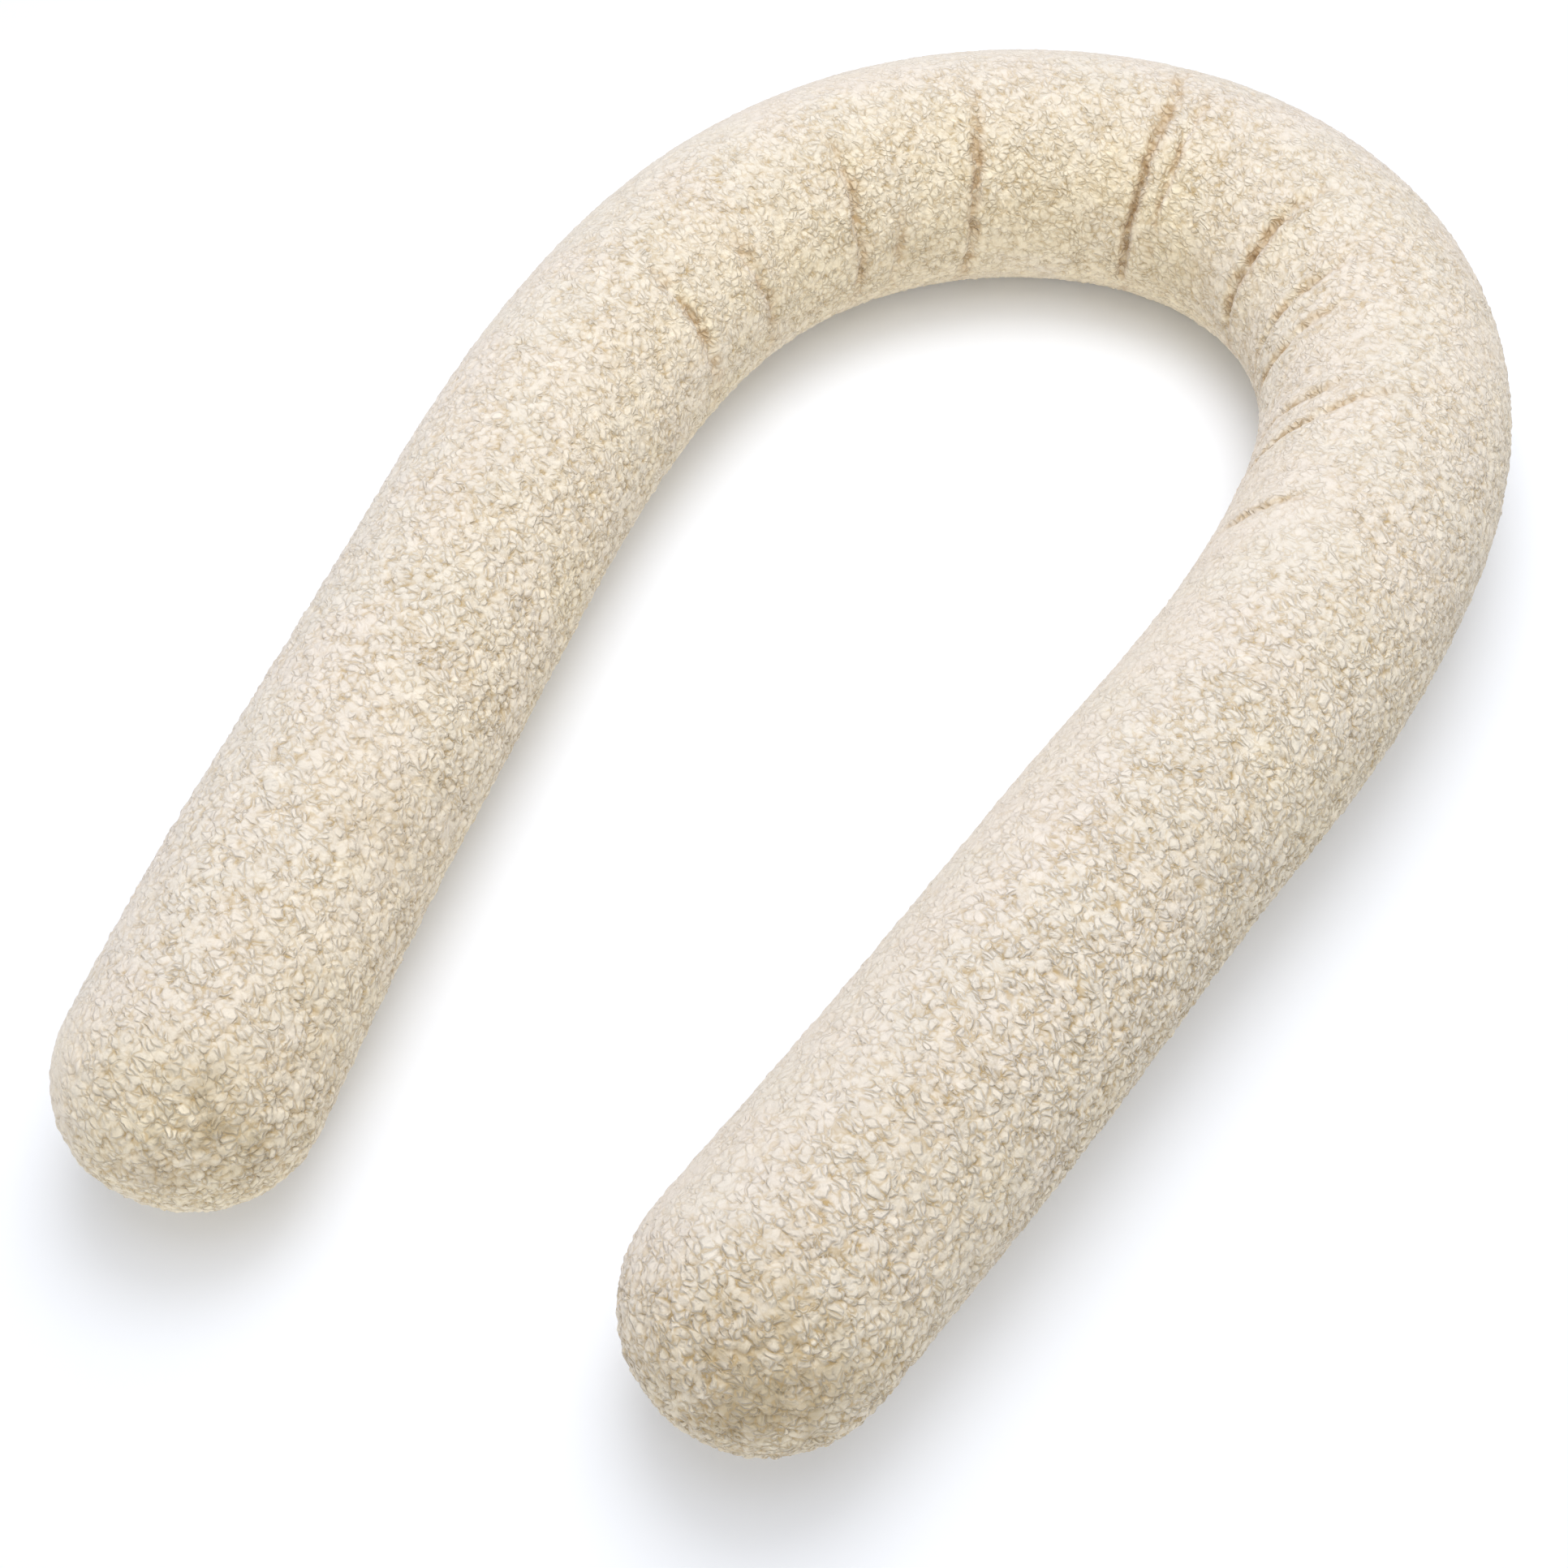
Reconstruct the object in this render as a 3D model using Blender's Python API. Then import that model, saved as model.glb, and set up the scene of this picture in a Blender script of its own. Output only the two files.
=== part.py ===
"""Body pillow: one long stuffed tube of curly pile cloth, lying on the floor in a horseshoe.

Metres, +Z up. The pillow rests on the plane z = 0 with its two arms along Y and its open end
at -Y. Its skin is a function of two numbers, the way along the middle line of the tube and the
turn round it. Rings of that skin are joined into one closed surface, domed at both ends.

The way is measured from where the left dome begins to where the right dome begins. The turn is
0 at the crown, 90 degrees at the inside of the bend, 180 degrees underneath.
"""

from typing import NamedTuple

import bpy
import numpy as np


class Section(NamedTuple):
    """A section across the tube: its middle on the floor plan, and half its width."""

    x: float
    y: float
    half_width: float


class Dome(NamedTuple):
    """The closed end of an arm: how far it goes past the last section, and how square it is.

    A squareness of 2 is half an ellipse.
    """

    length: float
    squareness: float


class Crease(NamedTuple):
    """A fold across the inside of the bend.

    place: way along the tube where the fold passes MIDDLE_TURN.
    lean: way that it wanders along the tube, for each unit of sine away from MIDDLE_TURN.
    first, last: turns in degrees between which it shows.
    depth, reach: how deep it is, and how far to each side its trough goes.
    """

    place: float
    lean: float
    first: float
    last: float
    depth: float
    reach: float


# From the left arm's end, round the bend, to the right arm's end.
SECTIONS = (
    Section(x=-0.177, y=-0.476, half_width=0.0761),
    Section(x=-0.200, y=-0.358, half_width=0.0762),
    Section(x=-0.220, y=-0.230, half_width=0.0760),
    Section(x=-0.239, y=-0.105, half_width=0.0764),
    Section(x=-0.256, y=0.019, half_width=0.0777),
    Section(x=-0.260, y=0.143, half_width=0.0792),
    Section(x=-0.238, y=0.268, half_width=0.0810),
    Section(x=-0.172, y=0.377, half_width=0.0832),
    Section(x=-0.069, y=0.448, half_width=0.0839),
    Section(x=0.053, y=0.467, half_width=0.0838),
    Section(x=0.170, y=0.413, half_width=0.0838),
    Section(x=0.240, y=0.303, half_width=0.0827),
    Section(x=0.258, y=0.170, half_width=0.0821),
    Section(x=0.250, y=0.045, half_width=0.0813),
    Section(x=0.229, y=-0.077, half_width=0.0802),
    Section(x=0.210, y=-0.201, half_width=0.0797),
    Section(x=0.190, y=-0.325, half_width=0.0786),
    Section(x=0.168, y=-0.444, half_width=0.0773),
)

CREASES = (
    Crease(place=0.620, lean=-0.007, first=10, last=86, depth=0.0065, reach=0.010),
    Crease(place=0.693, lean=0.004, first=26, last=92, depth=0.0050, reach=0.010),
    Crease(place=0.813, lean=-0.008, first=8, last=108, depth=0.0065, reach=0.009),
    Crease(place=0.864, lean=-0.020, first=60, last=108, depth=0.0035, reach=0.008),
    Crease(place=0.935, lean=-0.012, first=-2, last=116, depth=0.0075, reach=0.008),
    Crease(place=1.087, lean=-0.002, first=-36, last=120, depth=0.0105, reach=0.008),
    Crease(place=1.112, lean=0.002, first=-14, last=72, depth=0.0050, reach=0.006),
    Crease(place=1.236, lean=0.010, first=-4, last=106, depth=0.0095, reach=0.010),
    Crease(place=1.313, lean=0.018, first=4, last=90, depth=0.0055, reach=0.008),
    Crease(place=1.353, lean=0.016, first=20, last=94, depth=0.0050, reach=0.008),
    Crease(place=1.441, lean=0.020, first=18, last=72, depth=0.0045, reach=0.007),
    Crease(place=1.471, lean=0.045, first=-10, last=78, depth=0.0040, reach=0.007),
    Crease(place=1.563, lean=0.033, first=14, last=68, depth=0.0030, reach=0.008),
)
MIDDLE_TURN = 40.0  # degrees: most folds have their middle here
FADE_TURN = 16.0  # degrees over which a fold runs out at each end
LIP = 0.35  # the swell beside a fold, as a share of its depth
LIP_REACH = 3.0  # and as a multiple of its reach
UNFOLDED = (0.48, 1.72)  # ways before and past the folds, where the arms are plain

HEIGHT_TO_WIDTH = 0.965  # lying down, the tube is a little lower than it is wide
LIFT = 0.94  # height of the middle line, as a share of half the height
FLOOR_ROUNDING = 0.003  # between the flat underside and the sides

LEFT_DOME = Dome(length=0.0755, squareness=2.1)
RIGHT_DOME = Dome(length=0.0800, squareness=2.05)
DOME_RINGS = 8

SIDES = 40
RING_STEP = 0.036
FLANK_RINGS = (-2.0, -0.75, 0.75, 2.0)  # beside each fold, in its reaches
CLOSEST_RINGS = 0.003
LINE_SAMPLES = 3000

CREAM = (0.76, 0.66, 0.52, 1.0)
PILE_ROUGHNESS = 0.95


def natural_spline(knots, values, at):
    """The cubic curve through the values at the knots, with no bend at either end, read at `at`."""
    gap = np.diff(knots)
    count = len(knots)
    system = np.eye(count)
    right = np.zeros((count, values.shape[1]))
    for i in range(1, count - 1):
        system[i, i - 1] = gap[i - 1]
        system[i, i] = 2 * (gap[i - 1] + gap[i])
        system[i, i + 1] = gap[i]
        slope_after = (values[i + 1] - values[i]) / gap[i]
        slope_before = (values[i] - values[i - 1]) / gap[i - 1]
        right[i] = 6 * (slope_after - slope_before)
    bend = np.linalg.solve(system, right)
    span = np.clip(np.searchsorted(knots, at, side="right") - 1, 0, count - 2)
    width = gap[span][:, None]
    before = (at - knots[span])[:, None]
    after = width - before
    straight = values[span] * after / width + values[span + 1] * before / width
    curve_after = bend[span] * (after**3 / width - width * after)
    curve_before = bend[span + 1] * (before**3 / width - width * before)
    return straight + (curve_after + curve_before) / 6


class MiddleLine:
    """The line through the middle of the tube, read by the way along it."""

    def __init__(self, sections):
        values = np.array(sections)
        chords = np.linalg.norm(np.diff(values[:, :2], axis=0), axis=1)
        knots = np.concatenate([[0.0], np.cumsum(chords)])
        self.line = natural_spline(knots, values, np.linspace(0.0, knots[-1], LINE_SAMPLES))
        steps = np.linalg.norm(np.diff(self.line[:, :2], axis=0), axis=1)
        self.way = np.concatenate([[0.0], np.cumsum(steps)])
        self.length = self.way[-1]
        headings = np.gradient(self.line[:, :2], self.way, axis=0)
        self.heading = headings / np.linalg.norm(headings, axis=1)[:, None]

    def column(self, table, way):
        """One column of the table, read at each way."""
        return np.interp(way, self.way, table)

    def place(self, way):
        """Middle x, middle y, heading x and heading y at each way."""
        return (
            self.column(self.line[:, 0], way),
            self.column(self.line[:, 1], way),
            self.column(self.heading[:, 0], way),
            self.column(self.heading[:, 1], way),
        )

    def half_width(self, way):
        return self.column(self.line[:, 2], way)


def wander(lean, turn):
    """How far along the tube a fold or a ring lies from its place, at each turn."""
    return lean * np.sin(turn - np.radians(MIDDLE_TURN))


def shows(crease, turn):
    """1 in the middle of the fold, falling to 0 at its two ends round the tube."""
    fade = np.radians(FADE_TURN)
    from_first = (turn - np.radians(crease.first)) / fade
    to_last = (np.radians(crease.last) - turn) / fade
    inner = np.clip(np.minimum(from_first, to_last), 0.0, 1.0)
    return inner * inner * (3 - 2 * inner)


def sunk(way, turn):
    """How far the folds draw the skin in: a narrow trough each, with a soft swell beside it."""
    total = np.zeros_like(way)
    for crease in CREASES:
        off = (way - crease.place - wander(crease.lean, turn)) / crease.reach
        trough = np.exp(-(off**2)) - LIP * np.exp(-((off / LIP_REACH) ** 2))
        total += crease.depth * trough * shows(crease, turn)
    return total


def dome_closing(past, dome):
    """1 where the dome begins, and falling to 0 at its pole."""
    share = np.clip(past / dome.length, 0.0, 1.0)
    return (1 - share**dome.squareness) ** (1 / dome.squareness)


def rest_on_floor(height):
    """Nothing goes below 0, with a small round between the flat underside and the sides."""
    rounded = (height + FLOOR_ROUNDING) ** 2 / (4 * FLOOR_ROUNDING)
    return np.where(height > FLOOR_ROUNDING, height, np.where(height < -FLOOR_ROUNDING, 0.0, rounded))


def skin(line, way, turn):
    """Points of the skin, for arrays of ways and turns."""
    on_line = np.clip(way, 0.0, line.length)
    x, y, heading_x, heading_y = line.place(on_line)
    full = line.half_width(on_line)
    closing = dome_closing(-way, LEFT_DOME) * dome_closing(way - line.length, RIGHT_DOME)
    half = full * closing - sunk(way, turn)
    inward = half * np.sin(turn)
    beyond = way - on_line
    return np.stack(
        [
            x + heading_x * beyond + heading_y * inward,
            y + heading_y * beyond - heading_x * inward,
            rest_on_floor(HEIGHT_TO_WIDTH * (LIFT * full + half * np.cos(turn))),
        ],
        axis=-1,
    )


def ring_ways(length):
    """Where the rings stand: five at each fold, and evenly spaced in between."""
    kept = [0.0] + [crease.place for crease in CREASES] + [length]
    for crease in CREASES:
        for rise in FLANK_RINGS:
            way = crease.place + rise * crease.reach
            if min(abs(way - other) for other in kept) > CLOSEST_RINGS:
                kept.append(way)
    kept.sort()
    ways = [0.0]
    for start, end in zip(kept[:-1], kept[1:]):
        count = max(1, round((end - start) / RING_STEP))
        ways.extend(np.linspace(start, end, count + 1)[1:])
    return np.array(ways)


def ring_leans(ways):
    """Each ring leans as the folds near it do, and the rings of the arms stand square."""
    places = [UNFOLDED[0]] + [crease.place for crease in CREASES] + [UNFOLDED[1]]
    leans = [0.0] + [crease.lean for crease in CREASES] + [0.0]
    return np.interp(ways, places, leans)


def tube_mesh(line):
    """Rings of the skin joined into one closed mesh, with a single point at each pole."""
    ways = ring_ways(line.length)
    rise = np.sin(np.linspace(0.0, np.pi / 2, DOME_RINGS + 1)[1:-1])
    ways = np.concatenate([-LEFT_DOME.length * rise[::-1], ways, line.length + RIGHT_DOME.length * rise])
    turns = np.radians(np.arange(SIDES) * 360.0 / SIDES - 180.0)
    way_grid, turn_grid = np.meshgrid(ways, turns, indexing="ij")
    way_grid = way_grid + wander(ring_leans(way_grid), turn_grid)
    rings = skin(line, way_grid, turn_grid).reshape(-1, 3)
    poles = skin(line, np.array([-LEFT_DOME.length, line.length + RIGHT_DOME.length]), np.zeros(2))
    points = np.concatenate([rings, poles])
    here = np.arange(len(rings)).reshape(len(ways), SIDES)
    there = np.roll(here, -1, axis=1)
    sleeve = np.stack([here[:-1], there[:-1], there[1:], here[1:]], axis=-1).reshape(-1, 4)
    left_pole = np.full(SIDES, len(rings))
    left_fan = np.stack([there[0], here[0], left_pole], axis=-1)
    right_fan = np.stack([here[-1], there[-1], left_pole + 1], axis=-1)
    mesh = bpy.data.meshes.new("body_pillow")
    mesh.from_pydata(points.tolist(), [], sleeve.tolist() + left_fan.tolist() + right_fan.tolist())
    mesh.update()
    mesh.shade_smooth()
    return mesh


def pile_material():
    """Matt cream pile cloth."""
    material = bpy.data.materials.new("curly_pile")
    material.use_nodes = True
    shader = material.node_tree.nodes["Principled BSDF"]
    shader.inputs["Base Color"].default_value = CREAM
    shader.inputs["Roughness"].default_value = PILE_ROUGHNESS
    shader.inputs["Metallic"].default_value = 0.0
    return material


def main():
    for left_over in list(bpy.data.objects):
        bpy.data.objects.remove(left_over)
    collection = bpy.data.collections.new("body_pillow")
    bpy.context.scene.collection.children.link(collection)
    mesh = tube_mesh(MiddleLine(SECTIONS))
    mesh.materials.append(pile_material())
    collection.objects.link(bpy.data.objects.new("body_pillow", mesh))


main()
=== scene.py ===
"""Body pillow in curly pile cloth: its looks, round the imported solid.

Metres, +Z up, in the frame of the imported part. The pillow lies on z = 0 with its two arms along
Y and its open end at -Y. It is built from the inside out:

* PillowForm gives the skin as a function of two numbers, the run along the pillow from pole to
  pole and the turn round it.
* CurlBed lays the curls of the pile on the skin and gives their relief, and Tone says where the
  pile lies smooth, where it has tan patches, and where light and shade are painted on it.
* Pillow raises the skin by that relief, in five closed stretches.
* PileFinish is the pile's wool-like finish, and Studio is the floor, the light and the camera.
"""

from __future__ import annotations

import logging
from dataclasses import dataclass
from enum import Enum

import bpy
import numpy as np
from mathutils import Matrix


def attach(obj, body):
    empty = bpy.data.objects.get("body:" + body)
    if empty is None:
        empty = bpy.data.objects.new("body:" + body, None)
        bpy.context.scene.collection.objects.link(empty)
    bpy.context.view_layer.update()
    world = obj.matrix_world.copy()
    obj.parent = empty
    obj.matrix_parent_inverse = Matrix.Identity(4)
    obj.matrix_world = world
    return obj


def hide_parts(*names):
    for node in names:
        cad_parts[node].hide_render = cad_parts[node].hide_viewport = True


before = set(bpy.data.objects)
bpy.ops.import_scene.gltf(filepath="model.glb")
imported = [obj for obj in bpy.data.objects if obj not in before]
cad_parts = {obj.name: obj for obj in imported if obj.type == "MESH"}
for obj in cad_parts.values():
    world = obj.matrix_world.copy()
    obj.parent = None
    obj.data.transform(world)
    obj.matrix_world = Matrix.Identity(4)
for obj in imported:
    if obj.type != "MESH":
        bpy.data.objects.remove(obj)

LOG = logging.getLogger("body_pillow")
SOLID = "body_pillow"
BODY = "root"
MM = 0.001

Colour = tuple[float, float, float]
Socket = bpy.types.NodeSocket
Feed = bpy.types.NodeSocket | Colour | float


# ---------------------------------------------------------------- the form of the pillow


@dataclass(frozen=True)
class Section:
    """A section across the tube, in metres.

    x, y: its middle on the floor plan.
    half_width: half the width of the tube there.
    """

    x: float
    y: float
    half_width: float


@dataclass(frozen=True)
class Dome:
    """The closed end of an arm.

    length: how far it goes past the last section, in metres.
    squareness: 2 is half an ellipse, and more is squarer.
    """

    length: float
    squareness: float

    def closing(self, past: np.ndarray) -> np.ndarray:
        """The superellipse's height: (1 - share^n)^(1/n), where share is past over length.

        Args:
            past: way past the last section, in metres. Below 0 it is on the arm.

        Returns:
            The radius as a share of the arm's: 1 on the arm, falling to 0 at the pole.
        """
        share = np.clip(past / self.length, 0.0, 1.0)
        return (1.0 - share**self.squareness) ** (1.0 / self.squareness)


@dataclass(frozen=True)
class Crease:
    """A fold across the inside of the bend.

    place: way along the tube where the fold passes the turn where most folds have their middle.
    lean: way that it wanders along the tube, for each unit of sine away from that turn.
    first, last: turns in degrees between which it shows.
    depth, reach: how deep it is, and how far to each side its trough goes, in metres.
    """

    place: float
    lean: float
    first: float
    last: float
    depth: float
    reach: float


# Fitted to the pillow's outline and rounded, from the left arm's end round to the right one's.
SECTIONS = (
    Section(x=-0.177, y=-0.476, half_width=0.0761),
    Section(x=-0.200, y=-0.358, half_width=0.0762),
    Section(x=-0.220, y=-0.230, half_width=0.0760),
    Section(x=-0.239, y=-0.105, half_width=0.0764),
    Section(x=-0.256, y=0.019, half_width=0.0777),
    Section(x=-0.260, y=0.143, half_width=0.0792),
    Section(x=-0.238, y=0.268, half_width=0.0810),
    Section(x=-0.172, y=0.377, half_width=0.0832),
    Section(x=-0.069, y=0.448, half_width=0.0839),
    Section(x=0.053, y=0.467, half_width=0.0838),
    Section(x=0.170, y=0.413, half_width=0.0838),
    Section(x=0.240, y=0.303, half_width=0.0827),
    Section(x=0.258, y=0.170, half_width=0.0821),
    Section(x=0.250, y=0.045, half_width=0.0813),
    Section(x=0.229, y=-0.077, half_width=0.0802),
    Section(x=0.210, y=-0.201, half_width=0.0797),
    Section(x=0.190, y=-0.325, half_width=0.0786),
    Section(x=0.168, y=-0.444, half_width=0.0773),
)

# Places, leans and turns are read off the folds with a fit, then adjusted. Depths and reaches are
# given.
CREASES = (
    Crease(place=0.620, lean=-0.007, first=10, last=86, depth=0.0065, reach=0.010),
    Crease(place=0.693, lean=0.004, first=26, last=92, depth=0.0050, reach=0.010),
    Crease(place=0.813, lean=-0.008, first=8, last=108, depth=0.0065, reach=0.009),
    Crease(place=0.864, lean=-0.020, first=60, last=108, depth=0.0035, reach=0.008),
    Crease(place=0.935, lean=-0.012, first=-2, last=116, depth=0.0075, reach=0.008),
    Crease(place=1.087, lean=-0.002, first=-36, last=120, depth=0.0105, reach=0.008),
    Crease(place=1.112, lean=0.002, first=-14, last=72, depth=0.0050, reach=0.006),
    Crease(place=1.236, lean=0.010, first=-4, last=106, depth=0.0095, reach=0.010),
    Crease(place=1.313, lean=0.018, first=4, last=90, depth=0.0055, reach=0.008),
    Crease(place=1.353, lean=0.016, first=20, last=94, depth=0.0050, reach=0.008),
    Crease(place=1.441, lean=0.020, first=18, last=72, depth=0.0045, reach=0.007),
    Crease(place=1.471, lean=0.045, first=-10, last=78, depth=0.0040, reach=0.007),
    Crease(place=1.563, lean=0.033, first=14, last=68, depth=0.0030, reach=0.008),
)


def natural_spline(knots: np.ndarray, values: np.ndarray, at: np.ndarray) -> np.ndarray:
    """The cubic curve through the values at the knots, with no bend at either end.

    Between two knots it is the straight line between their values, plus a cubic share of the
    bend (second slope) at each. The bends are those that make the slopes meet at every knot.

    Args:
        knots: rising places of the values.
        values: one row for each knot.
        at: places to read the curve at.

    Returns:
        One row for each place.
    """
    gap = np.diff(knots)
    slopes = np.diff(values, axis=0) / gap[:, None]
    system = np.eye(len(knots))
    inner = np.arange(1, len(knots) - 1)
    system[inner, inner - 1] = gap[:-1]
    system[inner, inner] = 2.0 * (gap[:-1] + gap[1:])
    system[inner, inner + 1] = gap[1:]
    right = np.zeros_like(values)
    right[1:-1] = 6.0 * np.diff(slopes, axis=0)
    bend = np.linalg.solve(system, right)
    span = np.clip(np.searchsorted(knots, at, side="right") - 1, 0, len(knots) - 2)
    width = gap[span][:, None]
    before = (at - knots[span])[:, None]
    after = width - before
    straight = values[span] * after / width + values[span + 1] * before / width
    curve_after = bend[span] * (after**3 / width - width * after)
    curve_before = bend[span + 1] * (before**3 / width - width * before)
    return straight + (curve_after + curve_before) / 6.0


def unit(vectors: np.ndarray) -> np.ndarray:
    """Each vector divided by its length."""
    return vectors / np.maximum(np.linalg.norm(vectors, axis=-1, keepdims=True), 1e-12)


def ease(share: np.ndarray) -> np.ndarray:
    """The S-curve 3s^2 - 2s^3 of a share clipped to 0..1."""
    inner = np.clip(share, 0.0, 1.0)
    return inner * inner * (3.0 - 2.0 * inner)


WORD = 0xFFFFFFFF
LATTICE_PRIMES = (73856093, 19349663, 83492791)
SEED_PRIME = 2654435761
MIXERS = ((15, 2246822519), (13, 3266489917))


def smooth_noise(points: np.ndarray, grain: float, seed: int) -> np.ndarray:
    """Value noise: a random number at each corner of a cubic lattice, blended with S-curves.

    Args:
        points: places, in metres, in rows of three.
        grain: edge of a lattice cube, in metres.
        seed: picks the random numbers.

    Returns:
        One number from -1 to 1 for each place.
    """
    scaled = points / grain
    corner = np.floor(scaled).astype(np.int64)
    blend = ease(scaled - corner)
    total = np.zeros(points.shape[:-1])
    prime_x, prime_y, prime_z = LATTICE_PRIMES
    for bits in range(8):
        step = np.array([bits & 1, (bits >> 1) & 1, (bits >> 2) & 1])
        cell = corner + step
        mixed = cell[..., 0] * prime_x ^ cell[..., 1] * prime_y ^ cell[..., 2] * prime_z
        mixed = (mixed ^ seed * SEED_PRIME) & WORD
        for shift, factor in MIXERS:
            mixed = (mixed ^ (mixed >> shift)) * factor & WORD
        value = (mixed >> 8) / float(1 << 23) - 1.0
        total += value * np.prod(np.where(step == 1, blend, 1.0 - blend), axis=-1)
    return total


@dataclass(frozen=True)
class Mottle:
    """An uneven share: base + coarse * noise + fine * a finer noise.

    The grains are in metres. The finer noise takes the next seed.
    """

    base: float
    coarse: float
    coarse_grain: float
    fine: float
    fine_grain: float
    seed: int

    def at(self, points: np.ndarray) -> np.ndarray:
        """The share at each place.

        Args:
            points: places, in metres, in rows of three.

        Returns:
            One share for each place.
        """
        coarse = self.coarse * smooth_noise(points, self.coarse_grain, self.seed)
        fine = self.fine * smooth_noise(points, self.fine_grain, self.seed + 1)
        return self.base + coarse + fine


@dataclass
class PillowForm:
    """The skin of the pillow, as a function of the run from pole to pole and the turn round it.

    The turn is 0 at the crown, a quarter circle at the inside of the bend and half a circle
    underneath. The way is measured along the middle line from the first section, so it is below
    0 in the left dome. The run is measured on the skin from the left pole, so it stays even
    where the domes close.
    """

    sections: tuple[Section, ...] = SECTIONS
    creases: tuple[Crease, ...] = CREASES
    left_dome: Dome = Dome(length=0.0755, squareness=2.1)
    right_dome: Dome = Dome(length=0.0800, squareness=2.05)
    height_to_width: float = 0.965
    lift: float = 0.94
    floor_rounding: float = 0.003
    middle_turn: float = np.radians(40.0)
    fade_turn: float = np.radians(16.0)
    fold_width: float = 0.64
    fold_filled: float = 0.58
    fold_rise: float = 0.45
    fold_wander: float = 0.0011
    fold_waves: float = 9.0
    ripples: float = 23.0
    wave_start: float = 40.0
    deepest: float = 0.0105
    lip: float = 0.45
    lip_reach: float = 3.6
    samples: int = 3000
    dome_samples: int = 400

    def __post_init__(self) -> None:
        """Reads the middle line and the run once, as tables for np.interp."""
        values = np.array([(s.x, s.y, s.half_width) for s in self.sections])
        chords = np.linalg.norm(np.diff(values[:, :2], axis=0), axis=1)
        knots = np.concatenate([[0.0], np.cumsum(chords)])
        self.line = natural_spline(knots, values, np.linspace(0.0, knots[-1], self.samples))
        steps = np.linalg.norm(np.diff(self.line[:, :2], axis=0), axis=1)
        self.line_way = np.concatenate([[0.0], np.cumsum(steps)])
        self.length = float(self.line_way[-1])
        self.heading = unit(np.gradient(self.line[:, :2], self.line_way, axis=0))
        rise = np.sin(np.linspace(0.0, np.pi / 2, self.dome_samples))
        left = -self.left_dome.length * rise[:0:-1]
        right = self.length + self.right_dome.length * rise[1:]
        self.run_way = np.concatenate([left, self.line_way, right])
        radius = self.radius(self.run_way)
        steps = np.hypot(np.diff(self.run_way), np.diff(radius))
        self.run = np.concatenate([[0.0], np.cumsum(steps)])
        self.run_length = float(self.run[-1])

    def way_of(self, run: np.ndarray) -> np.ndarray:
        """The way along the middle line at each run along the skin."""
        return np.interp(run, self.run, self.run_way)

    def radius(self, way: np.ndarray) -> np.ndarray:
        """Half the width of the tube at each way, falling to 0 at the two poles."""
        full = np.interp(way, self.line_way, self.line[:, 2])
        return full * self.left_dome.closing(-way) * self.right_dome.closing(way - self.length)

    def beside(self, crease: Crease, way: np.ndarray, turn: np.ndarray) -> np.ndarray:
        """How far along the tube each place is from a fold's line, over the fold's reach.

        The line runs along way = place + lean * sin(turn - middle turn) + two small waves.

        Args:
            crease: the fold.
            way, turn: places on the skin.

        Returns:
            Distances as shares of the reach, below 0 on the left.
        """
        wander = crease.lean * np.sin(turn - self.middle_turn)
        start = self.wave_start * crease.place
        wave = np.sin(self.fold_waves * turn + start) + 0.5 * np.sin(self.ripples * turn - start)
        line = crease.place + wander + self.fold_wander * wave
        return (way - line) / (crease.reach * self.fold_width)

    def shown(self, crease: Crease, turn: np.ndarray, longer: float = 0.0) -> np.ndarray:
        """How much of a fold is there: it rises over half its length and ends sooner.

        Args:
            crease: the fold.
            turn: turns in radians.
            longer: how much farther down than its last turn it goes, in radians.

        Returns:
            Shares from 0 to 1.
        """
        first, last = np.radians(crease.first), np.radians(crease.last)
        from_first = (turn - first) / (self.fold_rise * (last - first))
        to_last = (last + longer - turn) / self.fade_turn
        return ease(np.minimum(from_first, to_last))

    def sunk(self, way: np.ndarray, turn: np.ndarray) -> np.ndarray:
        """How far the folds draw the skin in.

        Each fold is a narrow bell-shaped trough exp(-off^2) less a wider, lower one, so a soft
        swell stands beside it. The pile fills a share of its depth, more in deeper folds.

        Args:
            way: ways along the middle line.
            turn: turns in radians.

        Returns:
            Depths in metres, below 0 on the swells.
        """
        total = np.zeros(np.broadcast(way, turn).shape)
        for crease in self.creases:
            off = self.beside(crease, way, turn)
            trough = np.exp(-(off**2)) - self.lip * np.exp(-((off / self.lip_reach) ** 2))
            left_open = 1.0 - self.fold_filled * crease.depth / self.deepest
            total += crease.depth * left_open * trough * self.shown(crease, turn)
        return total

    def traced(
        self, way: np.ndarray, turn: np.ndarray, reach: float, power: float, longer: float = 0.0
    ) -> np.ndarray:
        """How near each place is to a fold: strength^power * exp(-(off / reach)^2), the largest.

        The strength is the fold's depth over the deepest one's, times how much of it is there.

        Args:
            way, turn: places on the skin.
            reach: how far the trace goes to each side, as a share of the fold's own reach.
            power: above 1 it keeps to the deepest folds, and below 1 it evens them out.
            longer: how much farther down than the fold it goes, in radians.

        Returns:
            Shares from 0 to 1.
        """
        total = np.zeros(np.broadcast(way, turn).shape)
        for crease in self.creases:
            off = self.beside(crease, way, turn) / reach
            strength = crease.depth / self.deepest * self.shown(crease, turn, longer)
            total = np.maximum(total, strength**power * np.exp(-(off**2)))
        return total

    def on_floor(self, height: np.ndarray) -> np.ndarray:
        """Heights kept at or above 0: (h + r)^2 / 4r within r of the floor, so the edge is round.

        Args:
            height: heights in metres, below 0 where the tube would go under the floor.

        Returns:
            Heights in metres, none below 0.
        """
        r = self.floor_rounding
        rounded = (height + r) ** 2 / (4.0 * r)
        return np.where(height > r, height, np.where(height < -r, 0.0, rounded))

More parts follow.
